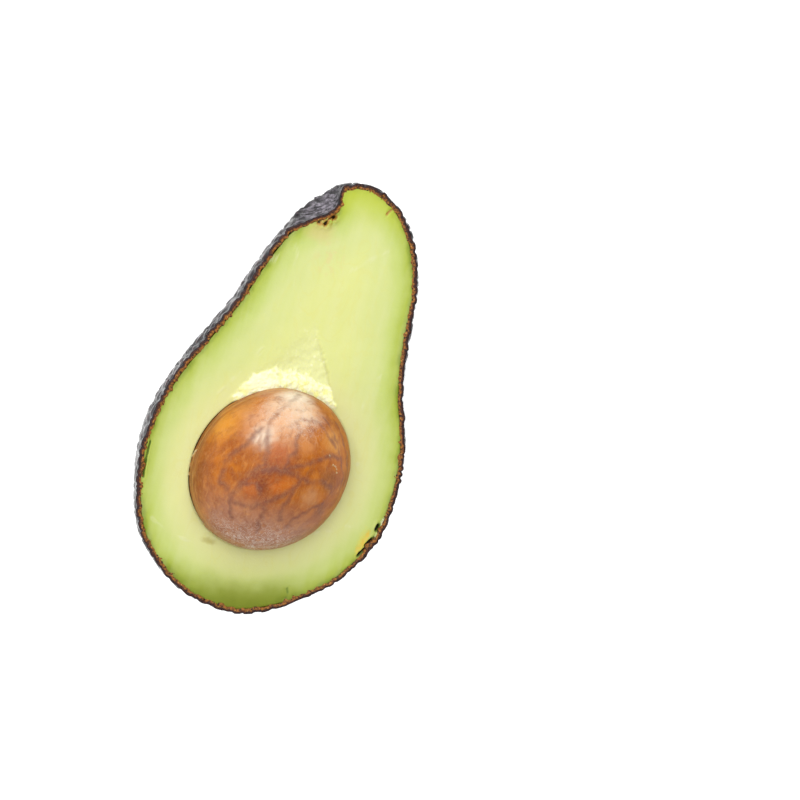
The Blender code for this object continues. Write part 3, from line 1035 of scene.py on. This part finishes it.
# Cream by the seed: partly the flesh's own colour and partly painted light against the seed's shade on it.
pulp.brush(from_seed.ease(8.5, 0.5) * 0.8, 246, 245, 172)
streaks = pulp.clouds(2.6, 3, stretch=(1, 9, 1)).ease(0.35, 0.7)
pulp.brush(streaks * 0.15 * (1 - bottom), 242, 244, 192)
# Painted shade at the bottom end, over the flesh's own greener colour there.
pulp.brush(bottom * from_peel.ease(6.5, 0.5) * 0.85, 90, 120, 0)
pulp.brush(bottom * 0.26, 178, 168, 40)
pulp.brush(up.ease(94, 103) * 0.6, 204, 216, 60)
vessel = pulp.clouds(5, 2, warp=1.2, stretch=(1, 2.6, 1), shift=5) - 0.5
pulp.brush((vessel * vessel).ease(0.0009, 0.0) * from_peel.ease(4, 9) * 0.12, 238, 226, 112)
olive = pulp.spot((-10.3, 16.0, 0), (2.8, 1.1, 9), 0.8)
pulp.brush(olive * 0.5, 186, 170, 76)
crease = pulp.stored("crease")
pulp.brush(crease * 0.3, 246, 246, 204)
tear = pulp.stored("torn")
crumb = pulp.stored("crumb")
# The torn patch, its flakes and its crumbs are painted paler than the flesh round them, flakes and crumbs past
# screen white: partly the paler torn flesh and partly painted light against the shade of their relief.
pulp.brush(tear * (1 - crumb) * 0.75, 250, 252, 184)
flakes = pulp.cells(1.3).ease(0.34, 0.16) * pulp.clouds(2.2).ease(0.48, 0.6) * tear
pulp.brush(flakes * 0.8, 262, 262, 212)
mixed_crumb = pulp.mix(pulp.clouds(1.2, 4).ease(0.35, 0.6), colour(266, 264, 172), colour(272, 272, 226))
# Painted light: the crumbs at the left of the tear, where the seed shades them, are painted whiter.
crumb_painted_light = pulp.spot((-8.5, 55.0, 0), (6, 5, 9), 0.4) * 0.8
mixed_crumb = pulp.mix(crumb_painted_light, mixed_crumb, colour(272, 272, 232))
pulp.cover(crumb.ease(0.1, 0.8), mixed_crumb)
blush = pulp.spot((-4.4, 92.6, 0), (5.5, 3.6, 9), 0.6)
pulp.brush(blush * 0.4, 234, 200, 140)
mottled = pulp.spot((-0.6, 87.0, 0), (5.0, 6.0, 9), 0.5) * pulp.clouds(1.6).ease(0.48, 0.62)
pulp.brush(mottled * 0.4, 240, 214, 150)
rust = pulp.spot((-4.2, 95.6, 0), (4.2, 2.6, 9), 0.9)
pulp.brush(rust * pulp.clouds(0.9).ease(0.42, 0.62) * 0.8, 176, 122, 44)
sour = pulp.spot((25.3, 24.2, 0), (1.6, 5.0, 9), 0.9)
pulp.brush(sour * 0.6, 236, 222, 92)
for centre, tone, share in (((24.6, 22.7, 0), (236, 204, 76), 0.6), ((25.5, 24.5, 0), (234, 190, 58), 0.7),
                            ((26.1, 26.6, 0), (240, 196, 66), 0.7), ((28.9, 30.2, 0), (252, 254, 206), 0.9),
                            ((28.2, 26.6, 0), (240, 246, 170), 0.7)):
    shred = pulp.spot(centre, (0.8, 1.8, 9), 1.8)
    pulp.brush(shred * share, *tone)
dark = pulp.stored("dark")
brown_rim = pulp.mix(up.ease(84, 88), colour(124, 148, 52), colour(206, 160, 74))
pulp.cover(dark.ease(0.05, 0.4), brown_rim)
# Painted shade: the bottoms of the slits and pores are painted nearly black; their walls above are olive, and
# orange-brown near the stem.
hole = pulp.mix(up.ease(84, 88), colour(30, 34, 8), colour(66, 42, 12))
pulp.cover(dark.ease(0.5, 0.95), hole)
fine = pulp.clouds(0.7, 4) * 0.6 + pulp.clouds(0.22, 3) * (tear * 1.2 + 0.25)
flesh_bump = pulp.bump(fine, 0.12)
pulp.feeds(Base_Color=pulp.tone, Roughness=0.42 + pulp.clouds(3) * 0.12 + tear * 0.2, Normal=flesh_bump)
print("flesh finish has", len(pulp.tree.nodes), "nodes")

# %% [markdown]
# The seed's coat is orange-brown and cloudy, with dull brown veins, a pale top and pale fibres at the bottom; the
# pale top is partly bloom and partly painted highlight. Large soft patches of colour come first, then fine
# cloudiness, then the stored veins.

# %% The seed's finish
coat = Paint("avocado_seed", Specular_IOR_Level=0.2, Coat_IOR=1.4, Coat_Roughness=0.3, Subsurface_Weight=0.05,
             Subsurface_Scale=0.001)
cloud = coat.clouds(5, 3, warp=0.5)
coat.tone = coat.mix(cloud.ease(0.35, 0.65), colour(168, 84, 0), colour(200, 112, 4))
lower = coat.spot(on_seed(0, 20), (25, 14, 20), 0.3)
coat.brush(lower * 0.9, 184, 134, 108)
# Painted highlight: the pale patches round the top of the seed are partly the coat's whitish bloom and partly
# painted highlight; the pale pink patch at (-4.5, 43.2) is painted highlight alone.
for centre, size, tone, share in (
        ((-2.5, 48.0), 12.0, (238, 182, 138), 0.65), ((1.2, 51.6), 9.0, (258, 234, 202), 0.75),
        ((0.2, 54.4), 6.0, (262, 248, 224), 0.9), ((-1.8, 48.6), 7.0, (238, 190, 150), 0.5),
        ((-5.5, 54.0), 6.0, (228, 168, 130), 0.6), ((-4.5, 43.2), 4.4, (252, 232, 206), 0.75),
        ((-13.9, 43.5), 6.5, (236, 156, 44), 0.85), ((-17.0, 31.0), 7.5, (146, 74, 10), 0.7),
        ((13.8, 36.8), 4.5, (140, 78, 28), 0.7), ((-11.0, 48.3), 5.0, (230, 154, 70), 0.6),
        ((0.5, 39.9), 4.0, (200, 96, 22), 0.7),
        ((-1.0, 33.4), 9, (140, 58, 8), 0.7), ((1.8, 32.6), 3.0, (206, 104, 14), 0.8),
        ((4.6, 33.2), 3.1, (210, 114, 22), 0.8), ((-4.0, 30.2), 3.0, (196, 100, 20), 0.75),
        ((-1.8, 31.6), 2.0, (128, 50, 8), 0.8), ((12.3, 46.2), 5.0, (224, 156, 70), 0.75),
        ((6.2, 44.0), 3.6, (222, 144, 72), 0.6), ((10.4, 31.8), 3.6, (206, 146, 96), 0.7),
        ((13.6, 29.6), 3.0, (140, 84, 56), 0.6), ((10.0, 22.0), 5.0, (160, 112, 92), 0.5)):
    patch = coat.spot(on_seed(*centre), (size, size, size), 0.7)
    coat.brush(patch * share, *tone)
darker = coat.clouds(2.0, 4, 0.6, warp=0.6, stretch=(1, 1.6, 1)).ease(0.48, 0.72)
coat.brush(darker * 0.45, 136, 66, 28)
lighter = coat.clouds(1.5, 4, 0.65, warp=0.5, stretch=(1, 2.0, 1), shift=11).ease(0.5, 0.76)
coat.brush(lighter * 0.4, 236, 158, 78)
height = coat.node("SeparateXYZ", {"Vector": coat.place}).out("Z")
edge_bands = coat.clouds(1.0, 3, warp=0.4, stretch=(9, 9, 0.9), shift=3.0).ease(0.42, 0.6)
near_edge = height.ease(7.0, 2.0)
coat.brush(near_edge * edge_bands * 0.45, 220, 164, 88)
coat.brush(near_edge * (1 - edge_bands) * 0.35, 110, 62, 30)
vein = coat.stored("vein")
top = coat.spot(on_seed(0.5, 50.0), (11, 9, 12), 0.5)
vein_share = vein * coat.clouds(2.6, 3).ease(0.3, 0.55, 0.35, 0.85) * (1 - top * 0.5)
coat.brush(vein_share ** 0.5 * 0.16, 146, 96, 88)
coat.brush(vein_share * 0.66, 116, 66, 56)
strand = coat.clouds(1.5, 3, 0.6, warp=1.6, stretch=(1, 1.7, 1)) - 0.5
strands = (strand * strand).ease(0.0016, 0.0)
bottom = coat.spot(on_seed(1.5, 18.0), (17, 8.5, 14), 0.5)
coat.brush(strands * bottom.atleast(top * 0.7) * 0.8, 232, 212, 200)
coat.brush(strands * 0.08, 238, 196, 140)
coat.brush(coat.stored("fleck") * 0.9, 240, 226, 176)
mottle = coat.clouds(0.6, 4)
coat.brush((mottle - 0.42) * 0.3, 228, 154, 76)
seed_bump = coat.bump(mottle * 0.5 + coat.clouds(0.25, 2) * 0.2, 0.1)
coat.feeds(Base_Color=coat.tone, Roughness=0.4 + mottle * 0.15, Coat_Weight=0.03 + cloud * 0.06, Normal=seed_bump)
print("seed finish has", len(coat.tree.nodes), "nodes")

# %% [markdown]
# ## Laying the pieces down
#
# Each piece is turned and placed by the one matrix, and that is applied, so that its object sits at the origin.
# What would sink into the table is pressed flat, as the weight of the fruit does.

# %% Lay down and hand over
for piece, paint, node in ((peel, skin, "peel"), (flesh, pulp, "flesh"), (seed, coat, "seed")):
    piece.matrix_world = LAID
    take(piece)
    bpy.ops.object.transform_apply()
    piece.data.materials.clear()
    piece.data.materials.append(paint.material)
    bpy.ops.object.shade_smooth()
    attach(piece, "root")
    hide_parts(node)
    print(piece.name, len(piece.data.polygons), "faces")
for corner in peel.data.vertices:
    corner.co.z = max(0.0, corner.co.z)
